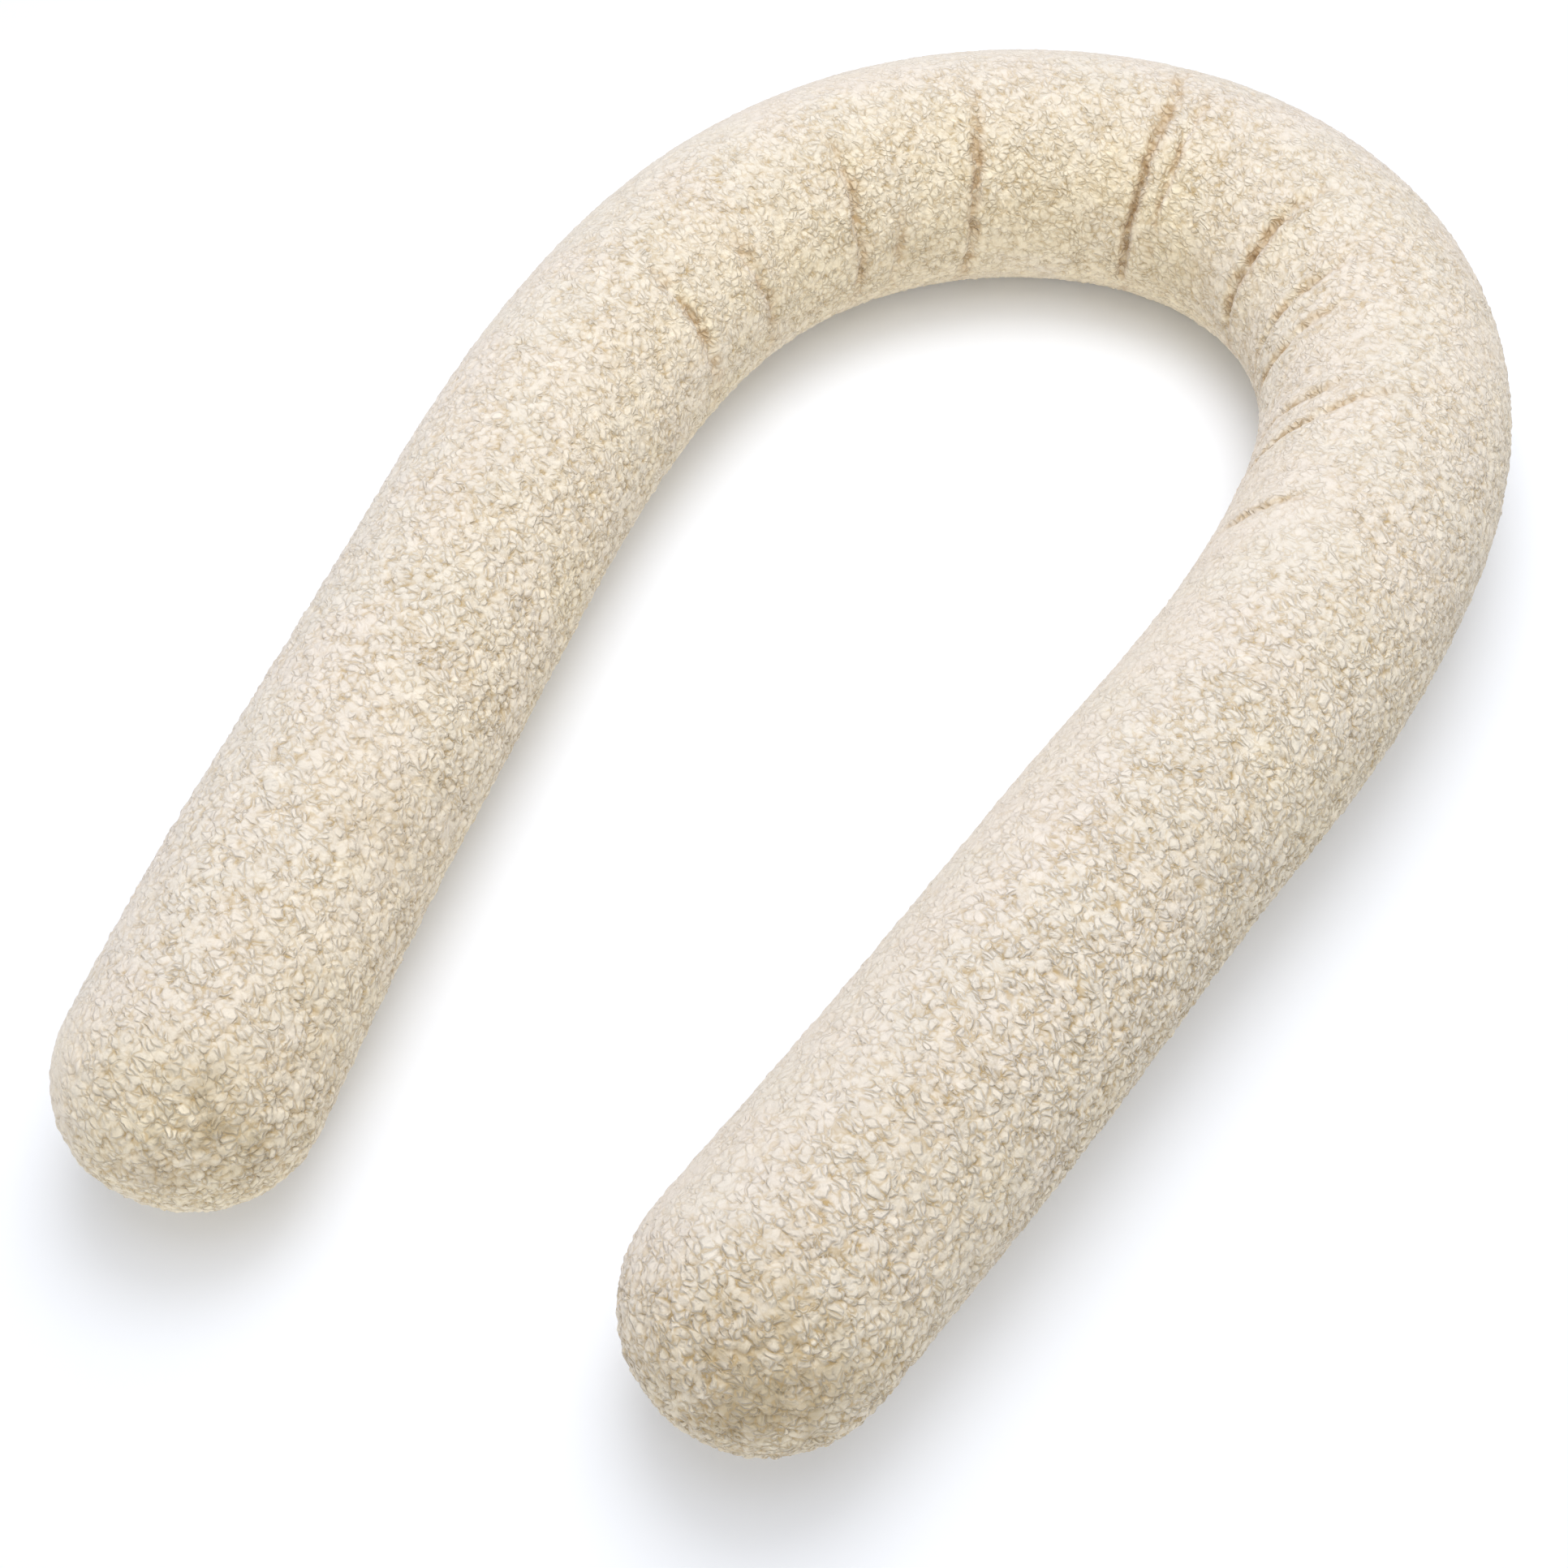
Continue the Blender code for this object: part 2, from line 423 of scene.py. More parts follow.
    def skin(self, run: np.ndarray, turn: np.ndarray, raised: float = 0.0) -> np.ndarray:
        """Points of the skin.

        A point is the middle line's point, moved along its heading past the ends, sideways by
        half * sin(turn) and up by half * cos(turn), where half is the radius less the folds.

        Args:
            run: runs along the skin from the left pole.
            turn: turns in radians, from minus half a circle to half a circle.
            raised: how far the points stand out from the skin, in metres.

        Returns:
            Points, with x, y and z along the last axis.
        """
        way = self.way_of(run)
        on_line = np.clip(way, 0.0, self.length)
        x = np.interp(on_line, self.line_way, self.line[:, 0])
        y = np.interp(on_line, self.line_way, self.line[:, 1])
        heading_x = np.interp(on_line, self.line_way, self.heading[:, 0])
        heading_y = np.interp(on_line, self.line_way, self.heading[:, 1])
        full = np.interp(on_line, self.line_way, self.line[:, 2])
        closing = self.radius(way) / full
        half = full * closing - self.sunk(way, turn) + raised * closing
        inward = half * np.sin(turn)
        beyond = (way - on_line) * (1.0 + raised / full)
        height = self.on_floor(self.height_to_width * (self.lift * full + half * np.cos(turn)))
        return np.stack(
            [
                x + heading_x * beyond + heading_y * inward,
                y + heading_y * beyond - heading_x * inward,
                height,
            ],
            axis=-1,
        )

    def frame_at(self, run: np.ndarray, turn: np.ndarray, step: float) -> tuple[np.ndarray, ...]:
        """The skin's point, the directions along it and round it, and its outward normal.

        Both directions are differences over a small step, and the normal is their cross product.

        Args:
            run, turn: places on the skin.
            step: length of the step, in metres.

        Returns:
            Four arrays of vectors: point, along, round and normal.
        """
        low = np.clip(run - step, 0.0, self.run_length)
        high = np.clip(run + step, 0.0, self.run_length)
        spin = step / np.maximum(self.radius(self.way_of(run)), step)
        along = unit(self.skin(high, turn) - self.skin(low, turn))
        round_it = unit(self.skin(run, turn + spin) - self.skin(run, turn - spin))
        normal = unit(np.cross(round_it, along))
        return self.skin(run, turn), along, unit(np.cross(along, normal)), normal


def wrapped(turn: np.ndarray) -> np.ndarray:
    """Turns brought between minus half a circle and half a circle."""
    return (turn + np.pi) % (2.0 * np.pi) - np.pi


# ---------------------------------------------------------------- finishes


@dataclass(frozen=True)
class PileFinish:
    """Wool-like pile: pale cream on the curls' tops, tan in the hollows, brown in the folds.

    Its tan in the hollows and away from the light and its brown in the folds are painted shade.
    The colours are linear. The sizes are in metres.
    """

    top: Colour = (0.815, 0.758, 0.681)
    rosy: Colour = (0.822, 0.753, 0.681)
    painted_hollow_shade: Colour = (0.520, 0.385, 0.202)
    # Painted on the side away from the lamp as the warm tint of shade, lighter as if filled; also
    # random flecks.
    tan: Colour = (0.905, 0.803, 0.600)
    # Painted shade in the folds: brown in their cores and beads, tan along their sides.
    fold: Colour = (0.290, 0.165, 0.062)
    fold_side: Colour = (0.680, 0.512, 0.312)
    patch: Colour = (0.525, 0.425, 0.262)
    roughness: float = 0.95
    specular: float = 0.15
    sheen: float = 0.45
    sheen_roughness: float = 0.45
    sheen_tint: Colour = (1.0, 0.93, 0.88)
    patch_size: float = 0.055
    rosy_range: tuple[float, float] = (0.38, 0.62)
    fleck_size: float = 0.012
    fleck_range: tuple[float, float] = (0.5, 0.75)
    fleck_share: float = 0.10
    patch_share: float = 0.80
    crack_share: float = 0.16
    low_share: float = 0.36
    lock_size: float = 0.0051
    lock_stretch: float = 1.40
    comb_angle: float = np.radians(-23.0)
    lock_bend: float = 0.0020
    shear_size: float = 0.016
    shear_bend: float = 0.0060
    line_width: float = 0.13
    line_strength: float = 0.66
    break_size: float = 1.25
    break_range: tuple[float, float] = (0.34, 0.56)
    break_least: float = 0.24
    fold_shade_share: float = 0.75
    bead_width: float = 2.0
    bead_share: float = 0.55
    fold_share: float = 0.85
    curl_shade: float = 0.03
    fibre_size: float = 0.0012
    fibre_rise: float = 0.0005
    plump_width: float = 0.27
    plump_rise: float = 3.0
    bump_strength: float = 0.80

    def material(self) -> bpy.types.Material:
        """The node material, coloured and raised by the mesh's numbers and by noise.

        Returns:
            The material.
        """
        material = bpy.data.materials.new("curly_pile")
        material.use_nodes = True
        shader = material.node_tree.nodes["Principled BSDF"]
        self.set_surface(shader)
        nodes = Wiring(material.node_tree)
        place = nodes.add("ShaderNodeTexCoord").outputs["Object"]
        edge = self.lock_edges(nodes, place)
        parted = self.lock_parting(nodes, place)
        colour = self.curls(nodes, place)
        colour = self.with_painted_hollow_shade(nodes, colour, edge, parted)
        colour = self.with_folds(nodes, colour, edge)
        # shade adds each curl's random tone and painted light near the floor and away from the lamp.
        shade = nodes.scaled(nodes.attribute("shade"), self.curl_shade)
        nodes.feed(shader.inputs["Base Color"], nodes.brightened(colour, shade))
        nodes.feed(shader.inputs["Normal"], self.bump(nodes, place, edge, parted))
        return material

    def set_surface(self, shader: bpy.types.ShaderNode) -> None:
        """Sets the plain values of the surface.

        Args:
            shader: the material's shader.
        """
        shader.inputs["Roughness"].default_value = self.roughness
        shader.inputs["Sheen Weight"].default_value = self.sheen
        shader.inputs["Sheen Roughness"].default_value = self.sheen_roughness
        shader.inputs["Sheen Tint"].default_value = (*self.sheen_tint, 1.0)
        shader.inputs["Specular IOR Level"].default_value = self.specular

    def lock_edges(self, nodes: Wiring, place: Socket) -> Socket:
        """How far each place is from the edge of its lock of pile, in lock sizes.

        The locks are cells in combed axes, sized by the mesh's fineness and bent twice.

        Args:
            nodes: the material's nodes.
            place: the place on the object.

        Returns:
            Distances, 0 on the edge.
        """
        combed = nodes.combed(place, self.comb_angle, self.lock_stretch)
        sized = nodes.resized(combed, nodes.attribute("fineness"))
        sheared = nodes.bent(sized, self.shear_size, self.shear_bend)
        return nodes.cell_edges(nodes.bent(sheared, self.lock_size, self.lock_bend), self.lock_size)

    def lock_parting(self, nodes: Wiring, place: Socket) -> Socket:
        """How far the locks part: the mesh's number, broken up so that some edges close.

        Args:
            nodes: the material's nodes.
            place: the place on the object.

        Returns:
            Shares from 0.
        """
        noise = nodes.noise(place, 1.0 / (self.break_size * self.lock_size), 1.0)
        broken = nodes.scaled(nodes.ramp(noise, *self.break_range), 1.0 - self.break_least)
        broken = nodes.maths("ADD", broken, self.break_least)
        return nodes.maths("MULTIPLY", broken, nodes.attribute("parted"))

    def curls(self, nodes: Wiring, place: Socket) -> Socket:
        """The colour of the curls' tops, from cream or rosy to tan, and darker in the patches.

        Args:
            nodes: the material's nodes.
            place: the place on the object.

        Returns:
            The colour.
        """
        rosiness = nodes.ramp(nodes.noise(place, 1.0 / self.patch_size, 3.0), *self.rosy_range)
        fleck = nodes.ramp(nodes.noise(place, 1.0 / self.fleck_size, 2.0), *self.fleck_range)
        flecks = nodes.scaled(fleck, self.fleck_share)
        # Tan: painted shade on the side away from the light, and random flecks.
        tan = nodes.clamp(nodes.maths("ADD", nodes.attribute("painted_shade_side"), flecks))
        colour = nodes.mix(tan, nodes.mix(rosiness, self.top, self.rosy), self.tan)
        patched = nodes.scaled(nodes.attribute("patched"), self.patch_share)
        return nodes.mix(patched, colour, self.patch)

    def with_painted_hollow_shade(self, nodes: Wiring, colour: Socket, edge: Socket, parted: Socket) -> Socket:
        """The colour with painted shade: tan in the cracks between curls and on the lines between
        locks.

        Args:
            nodes: the material's nodes.
            colour: the curls' colour.
            edge, parted: from lock_edges and lock_parting.

        Returns:
            The colour.
        """
        low = nodes.scaled(nodes.attribute("low"), self.low_share)
        share = nodes.maths("ADD", low, self.crack_share)
        crack = nodes.maths("MULTIPLY", nodes.attribute("crack"), share)
        line = nodes.maths("MULTIPLY", nodes.near(edge, self.line_width), parted)
        line = nodes.scaled(line, self.line_strength)
        return nodes.mix(nodes.clamp(nodes.maths("ADD", crack, line)), colour, self.painted_hollow_shade)

    def with_folds(self, nodes: Wiring, colour: Socket, edge: Socket) -> Socket:
        """Painted shade: darker along the folds, brown between their beads and in their cores.

        Args:
            nodes: the material's nodes.
            colour: the colour without folds.
            edge: from lock_edges.

        Returns:
            The colour.
        """
        painted_fold_shade = nodes.attribute("painted_fold_shade")
        colour = nodes.mix(nodes.scaled(painted_fold_shade, self.fold_shade_share), colour, self.fold_side)
        beads = nodes.near(edge, self.bead_width * self.line_width)
        beads = nodes.scaled(nodes.maths("MULTIPLY", beads, painted_fold_shade), self.bead_share)
        colour = nodes.mix(beads, colour, self.fold)
        return nodes.mix(nodes.scaled(nodes.attribute("folded"), self.fold_share), colour, self.fold)

    def bump(self, nodes: Wiring, place: Socket, edge: Socket, parted: Socket) -> Socket:
        """Fine fibres, and locks that swell away from their edges where they part.

        Args:
            nodes: the material's nodes.
            place: the place on the object.
            edge, parted: from lock_edges and lock_parting.

        Returns:
            The bumped normal.
        """
        fibres = nodes.noise(place, 1.0 / self.fibre_size, 2.0)
        swell = nodes.scaled(parted, self.plump_rise)
        plump = nodes.maths("MULTIPLY", nodes.ramp(edge, 0.0, self.plump_width), swell)
        bump = nodes.add("ShaderNodeBump")
        bump.inputs["Strength"].default_value = self.bump_strength
        bump.inputs["Distance"].default_value = self.fibre_rise
        nodes.feed(bump.inputs["Height"], nodes.maths("ADD", fibres, plump))
        return bump.outputs["Normal"]


@dataclass
class Wiring:
    """Short ways to add and join the nodes of one material."""

    tree: bpy.types.ShaderNodeTree

    def add(self, kind: str) -> bpy.types.ShaderNode:
        """A new node of that kind."""
        return self.tree.nodes.new(kind)

    def feed(self, socket: Socket, value: Feed) -> None:
        """Gives an input its value.

        Args:
            socket: the input.
            value: another node's output to link, or else a plain colour or number to set.
        """
        if isinstance(value, bpy.types.NodeSocket):
            self.tree.links.new(value, socket)
        elif isinstance(value, tuple):
            socket.default_value = (*value, 1.0)
        else:
            socket.default_value = value

    def noise_node(self, place: Socket, scale: float, detail: float) -> bpy.types.ShaderNode:
        """A noise over the place.

        Args:
            place: where to read it.
            scale: how many lumps go to a metre.
            detail: how many finer noises it holds.

        Returns:
            The node.
        """
        node = self.add("ShaderNodeTexNoise")
        node.inputs["Scale"].default_value = scale
        node.inputs["Detail"].default_value = detail
        self.feed(node.inputs["Vector"], place)
        return node

    def noise(self, place: Socket, scale: float, detail: float) -> Socket:
        """Noise from 0 to 1 at that scale."""
        return self.noise_node(place, scale, detail).outputs["Fac"]

    def bent(self, place: Socket, size: float, reach: float) -> Socket:
        """The place moved about by a noise.

        Args:
            place: the place.
            size: size of the noise's lumps, in metres.
            reach: how far it moves the place each way, in metres.

        Returns:
            The moved place.
        """
        moved = self.add("ShaderNodeVectorMath")
        moved.operation = "MULTIPLY_ADD"
        self.feed(moved.inputs[0], self.noise_node(place, 1.0 / size, 1.0).outputs["Color"])
        moved.inputs[1].default_value = (2.0 * reach, 2.0 * reach, 2.0 * reach)
        self.feed(moved.inputs[2], place)
        return moved.outputs["Vector"]

    def combed(self, place: Socket, angle: float, stretch: float) -> Socket:
        """The place in axes turned from above, drawn together along the first.

        Args:
            place: the place.
            angle: turn about Z, in radians.
            stretch: how much longer things come out along the first axis.

        Returns:
            The place in those axes.
        """
        node = self.add("ShaderNodeMapping")
        node.vector_type = "TEXTURE"
        node.inputs["Rotation"].default_value = (0.0, 0.0, angle)
        node.inputs["Scale"].default_value = (stretch, 1.0, 1.0)
        self.feed(node.inputs["Vector"], place)
        return node.outputs["Vector"]

    def resized(self, place: Socket, factor: Feed) -> Socket:
        """The place times a factor.

        Args:
            place: the place.
            factor: the factor.

        Returns:
            The product.
        """
        node = self.add("ShaderNodeVectorMath")
        node.operation = "SCALE"
        self.feed(node.inputs["Vector"], place)
        self.feed(node.inputs["Scale"], factor)
        return node.outputs["Vector"]

    def cell_edges(self, place: Socket, size: float) -> Socket:
        """How far each place is from the edge of its cell.

        Args:
            place: the place.
            size: size of the cells, in metres.

        Returns:
            Distances in cell sizes.
        """
        node = self.add("ShaderNodeTexVoronoi")
        node.feature = "DISTANCE_TO_EDGE"
        node.inputs["Scale"].default_value = 1.0 / size
        self.feed(node.inputs["Vector"], place)
        return node.outputs["Distance"]

    def attribute(self, name: str) -> Socket:
        """A number that the mesh holds.

        Args:
            name: the number's name in give_numbers.

        Returns:
            The number.
        """
        node = self.add("ShaderNodeAttribute")
        node.attribute_name = name
        return node.outputs["Fac"]

    def ramp(self, value: Feed, low: float, high: float) -> Socket:
        """0 up to low, 1 from high on, and an S-curve between.

        Args:
            value: what it reads.
            low, high: where it leaves 0 and where it reaches 1.

        Returns:
            Shares from 0 to 1.
        """
        node = self.add("ShaderNodeMapRange")
        node.interpolation_type = "SMOOTHSTEP"
        self.feed(node.inputs["Value"], value)
        node.inputs["From Min"].default_value = low
        node.inputs["From Max"].default_value = high
        return node.outputs["Result"]

    def near(self, distance: Socket, width: float) -> Socket:
        """1 at distance 0, falling to 0 at the width."""
        return self.maths("SUBTRACT", 1.0, self.ramp(distance, 0.0, width))

    def maths(self, operation: str, first: Feed, second: Feed) -> Socket:
        """One step of arithmetic.

        Args:
            operation: Blender's name for it.
            first, second: the two numbers.

        Returns:
            The result.
        """
        node = self.add("ShaderNodeMath")
        node.operation = operation
        self.feed(node.inputs[0], first)
        self.feed(node.inputs[1], second)
        return node.outputs[0]

    def scaled(self, value: Feed, factor: float) -> Socket:
        """The value times a factor."""
        return self.maths("MULTIPLY", value, factor)

    def clamp(self, value: Feed) -> Socket:
        """The value kept from 0 to 1."""
        return self.maths("MINIMUM", self.maths("MAXIMUM", value, 0.0), 1.0)

    def mix(self, share: Feed, first: Feed, second: Feed) -> Socket:
        """The first colour going over to the second.

        Args:
            share: 0 for all of the first, 1 for all of the second.
            first, second: the two colours.

        Returns:
            The colour.
        """
        node = self.add("ShaderNodeMix")
        node.data_type = "RGBA"
        self.feed(node.inputs[0], share)
        self.feed(node.inputs[6], first)
        self.feed(node.inputs[7], second)
        return node.outputs[2]

    def brightened(self, colour: Feed, shade: Feed) -> Socket:
        """The colour made lighter or darker.

        Args:
            colour: the colour.
            shade: 0 leaves it as it is, 0.1 makes it a tenth lighter.

        Returns:
            The colour.
        """
        node = self.add("ShaderNodeHueSaturation")
        self.feed(node.inputs["Color"], colour)
        self.feed(node.inputs["Value"], self.maths("ADD", shade, 1.0))
        return node.outputs["Color"]


# ---------------------------------------------------------------- meshes


def joined_mesh(
    name: str, points: np.ndarray, corners: np.ndarray, sizes: np.ndarray
) -> bpy.types.Mesh:
    """A smooth mesh from whole arrays.

    Args:
        name: the mesh's name.
        points: one row of x, y and z for each vertex.
        corners: the vertex of every face corner, one face after another.
        sizes: how many corners each face has.

    Returns:
        The mesh.
    """
    mesh = bpy.data.meshes.new(name)
    mesh.vertices.add(len(points))
    mesh.vertices.foreach_set("co", points.astype(np.float32).ravel())
    mesh.loops.add(len(corners))
    mesh.loops.foreach_set("vertex_index", corners.astype(np.int32))
    mesh.polygons.add(len(sizes))
    starts = np.concatenate([[0], np.cumsum(sizes)[:-1]])
    mesh.polygons.foreach_set("loop_start", starts.astype(np.int32))
    mesh.update(calc_edges=True)
    mesh.validate()
    mesh.shade_smooth()
    return mesh


def give_numbers(mesh: bpy.types.Mesh, name: str, values: np.ndarray) -> None:
    """Keeps one number for each vertex in the mesh, under a name that materials read.

    Args:
        mesh: the mesh.
        name: the name.
        values: the numbers, in the order of the vertices.
    """
    attribute = mesh.attributes.new(name, "FLOAT", "POINT")
    attribute.data.foreach_set("value", values.astype(np.float32).ravel())


def placed(mesh: bpy.types.Mesh, material: bpy.types.Material) -> bpy.types.Object:
    """The mesh as a shown object that rides on the part's body and takes its slot.

    Args:
        mesh: the mesh.
        material: its finish.

    Returns:
        The object.
    """
    mesh.materials.append(material)
    piece = bpy.data.objects.new(mesh.name, mesh)
    bpy.context.scene.collection.objects.link(piece)
    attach(piece, BODY)
    return piece


@dataclass(frozen=True)
class Patch:
    """A tan or a smooth patch in the pile.

    way: its way along the tube. turn: its turn, in degrees.
    reach: how far it goes, in metres. strength: how tan or smooth its middle is, from 0 to 1.
    """

    way: float
    turn: float
    reach: float
    strength: float


# Their places are looked up where the pile is tan. Reaches and strengths are given.
PATCHES = (
    Patch(way=-0.054, turn=42, reach=0.042, strength=0.85),
    Patch(way=0.020, turn=60, reach=0.035, strength=0.30),
    Patch(way=0.155, turn=55, reach=0.030, strength=0.35),
    Patch(way=0.205, turn=64, reach=0.025, strength=0.25),
    Patch(way=0.854, turn=91, reach=0.022, strength=0.30),
    Patch(way=1.163, turn=86, reach=0.022, strength=0.25),
    Patch(way=1.809, turn=-43, reach=0.030, strength=0.25),
    Patch(way=2.070, turn=-34, reach=0.065, strength=0.22),
    Patch(way=2.205, turn=-46, reach=0.054, strength=1.0),
)


# Where the left end lies smooth too.
SMOOTH_PATCHES = (
    Patch(way=-0.030, turn=-62, reach=0.050, strength=0.55),
    Patch(way=0.060, turn=-62, reach=0.045, strength=0.45),
)


@dataclass
class Tone:
    """Where the pile lies smooth, where it has tan patches, and where shade and light are painted.

    The names that end in _from are where a change starts and those in _over how far it takes.
    Along the tube they are ways in metres, and elsewhere shares of how far a place faces one way.
    """

    form: PillowForm
    patches: tuple[Patch, ...] = PATCHES
    smooth_patches: tuple[Patch, ...] = SMOOTH_PATCHES
    fold_depth: float = 0.0026
    groove_depth: float = 0.0012
    groove_uneven: float = 0.9
    groove_grain: float = 0.005
    groove_seed: int = 17
    fold_shade_reach: float = 1.20
    fold_shade_power: float = 0.6
    fold_shade_longer: float = np.radians(24.0)
    fold_shade_fades: float = np.radians(78.0)
    fold_shade_loss: float = 0.4
    fold_shade_mottle: Mottle = Mottle(0.70, 0.8, 0.012, 1.1, 0.004, seed=13)
    core_reach: float = 0.42
    core_power: float = 6.0
    core_turn: float = np.radians(60.0)
    core_spread: float = np.radians(36.0)
    core_mottle: Mottle = Mottle(0.55, 0.9, 0.011, 1.0, 0.004, seed=15)
    patch_mottle: Mottle = Mottle(0.75, 0.7, 0.014, 0.5, 0.004, seed=21)
    rim_height: float = 0.065
    rim_over: float = 0.055
    # This direction points to the back lamp: facing it the relief is smoothed, away from it shade is
    # painted.
    lit_side: tuple[float, float, float] = (-0.55, 0.77, 0.33)
    lit_side_from: float = 0.25
    lit_side_over: float = 0.6
    lit_side_calm: float = 0.62
    rim_calm: float = 0.10
    patchy_calm: float = 0.20
    patchy_from: float = -0.2
    patchy_over: float = 1.2
    patchy_mottle: Mottle = Mottle(0.0, 1.0, 0.06, 0.6, 0.02, seed=51)
    most_calm: float = 0.8
    parted_in_bend: float = 0.76
    parted_right: float = 0.38
    parted_left: float = 0.20
    right_parts_from: float = 1.4
    right_parts_over: float = 0.5
    left_parts_until: float = 0.6
    left_parts_over: float = 0.4
    away_from: float = 0.5
    away_over: float = 1.35
    inner_ends: float = 1.60
    inner_over: float = 0.35
    right_tan: float = 0.76
    right_from: float = 1.15
    right_over: float = 0.35
    tan_uneven: float = 0.3
    tan_mottle: Mottle = Mottle(0.0, 1.0, 0.045, 0.8, 0.014, seed=11)

    def folded(self, run: np.ndarray, turn: np.ndarray, points: np.ndarray) -> np.ndarray:
        """Painted shade: brown in the middle of the deepest folds, broken up by noise.

        Args:
            run, turn, points: the same places on the skin and in space.

        Returns:
            Shares from 0 to 1.
        """
        core = self.form.traced(self.form.way_of(run), turn, self.core_reach, self.core_power)
        core *= np.exp(-(((turn - self.core_turn) / self.core_spread) ** 2))
        return np.clip(core * self.core_mottle.at(points), 0.0, 1.0)

    def painted_fold_shade(self, run: np.ndarray, turn: np.ndarray, points: np.ndarray) -> np.ndarray:
        """Painted shade: darker tan along every fold and a little past its lower end, broken up by
        noise.

        Args:
            run, turn, points: the same places on the skin and in space.

        Returns:
            Shares from 0 to 1.
        """
        way = self.form.way_of(run)
        tan = self.form.traced(way, turn, self.fold_shade_reach, self.fold_shade_power, self.fold_shade_longer)
        tan *= 1.0 - self.fold_shade_loss * ease((turn - self.fold_shade_fades) / self.fold_shade_longer)
        return np.clip(tan * self.fold_shade_mottle.at(points), 0.0, 1.0)

    def spread(self, patches: tuple[Patch, ...], points: np.ndarray) -> np.ndarray:
        """The strongest of the patches at each place, strength * exp(-(distance / reach)^2).

        Args:
            patches: the patches.
            points: places in space.

        Returns:
            Shares from 0 to 1.
        """
        share = np.zeros(len(points))
        for patch in patches:
            patch_run = np.interp([patch.way], self.form.run_way, self.form.run)
            middle = self.form.skin(patch_run, np.radians([patch.turn]))
            distance = np.linalg.norm(points - middle, axis=1)
            share = np.maximum(share, patch.strength * np.exp(-((distance / patch.reach) ** 2)))
        return share

    def patched(self, points: np.ndarray) -> np.ndarray:
        """The tan patches, broken up by noise."""
        tan = self.spread(self.patches, points)
        return np.clip(tan * self.patch_mottle.at(points), 0.0, 1.0)

    def away(self, outward: np.ndarray) -> np.ndarray:
        """How far each place faces away from the lit side, from 0 to 1, where shade is painted."""
        facing = outward @ unit(np.array(self.lit_side))
        return np.clip((self.away_from - facing) / self.away_over, 0.0, 1.0)

    def painted_fill_side(self, run: np.ndarray, outward: np.ndarray) -> np.ndarray:
        """Painted light: the side away from the lit one, on the left arm and in the bend, made paler.
        """
        left = ease((self.inner_ends - self.form.way_of(run)) / self.inner_over)
        return self.away(outward) ** 2 * left

    def groove(self, run: np.ndarray, turn: np.ndarray, points: np.ndarray) -> np.ndarray:
        """How far the pile parts in the bottom of a fold, here more and there less.

        Args:
            run, turn, points: the same places on the skin and in space.

        Returns:
            Depths in metres.
        """
        share = np.clip(self.form.sunk(self.form.way_of(run), turn) / self.fold_depth, 0.0, 1.0)
        parted = 1.0 + self.groove_uneven * smooth_noise(points, self.groove_grain, self.groove_seed)
        return self.groove_depth * share**2 * parted

    def rim(self, points: np.ndarray) -> np.ndarray:
        """Nearness to the floor: there the pile is finer, and paler with painted light bounced off
        the floor.
        """
        return ease((self.rim_height - points[:, 2]) / self.rim_over)

    def calm(self, points: np.ndarray, outward: np.ndarray) -> np.ndarray:
        """Where the pile lies smooth: on the side that faces the light, close to the floor, and in
        patches.

        Args:
            points: places on the skin.
            outward: the skin's normals there.

        Returns:
            Shares from 0 to 1, where 1 has no relief.
        """
        facing = outward @ unit(np.array(self.lit_side))
        lit_side = ease((facing - self.lit_side_from) / self.lit_side_over)
        lumps = self.patchy_mottle.at(points)
        patchy = ease((lumps - self.patchy_from) / self.patchy_over)
        smooth = np.maximum(self.lit_side_calm * lit_side, self.spread(self.smooth_patches, points))
        patchy = self.rim_calm * self.rim(points) + self.patchy_calm * patchy
        return np.clip(smooth + patchy, 0.0, self.most_calm)

    def near_end(self, run: np.ndarray) -> np.ndarray:
        """How strongly the locks part: fully towards the right end, less in the bend.

        Args:
            run: runs along the skin.

        Returns:
            Shares, a little over 1 at the right end.
        """
        way = self.form.way_of(run)
        right = self.parted_right * ease((way - self.right_parts_from) / self.right_parts_over)
        left = self.parted_left * ease((self.left_parts_until - way) / self.left_parts_over)
        return self.parted_in_bend + right + left

    def painted_shade_side(self, run: np.ndarray, points: np.ndarray, outward: np.ndarray) -> np.ndarray:
        """Painted shade: tan that grows away from the lit side, less on the right arm, broken up by
        noise.

        Args:
            run: runs along the skin.
            points: the same places in space.
            outward: the skin's normals there.

        Returns:
            Shares from 0 to 1.
        """
        right = ease((self.form.way_of(run) - self.right_from) / self.right_over)
        share = 1.0 - (1.0 - self.right_tan) * right
        broken = 1.0 + self.tan_uneven * self.tan_mottle.at(points)
        return np.clip(self.away(outward) * share * broken, 0.0, 1.0)


# ---------------------------------------------------------------- the curls of the pile


@dataclass(frozen=True)
class CurlSize:
    """A typical curl, in metres.

    pitch: distance from one curl to the next.
    long, wide: half its length and half its width.
    bend: how far its middle is pushed sideways, as a share of its half length.
    relief: how much it stands out, as a share of the pile's full relief.
    """

    pitch: float
    long: float
    wide: float
    bend: float
    relief: float


ROUND_CURL = CurlSize(pitch=7.2 * MM, long=6.2 * MM, wide=3.8 * MM, bend=0.42, relief=1.0)
WORM_CURL = CurlSize(pitch=5.6 * MM, long=5.0 * MM, wide=2.3 * MM, bend=0.50, relief=0.58)


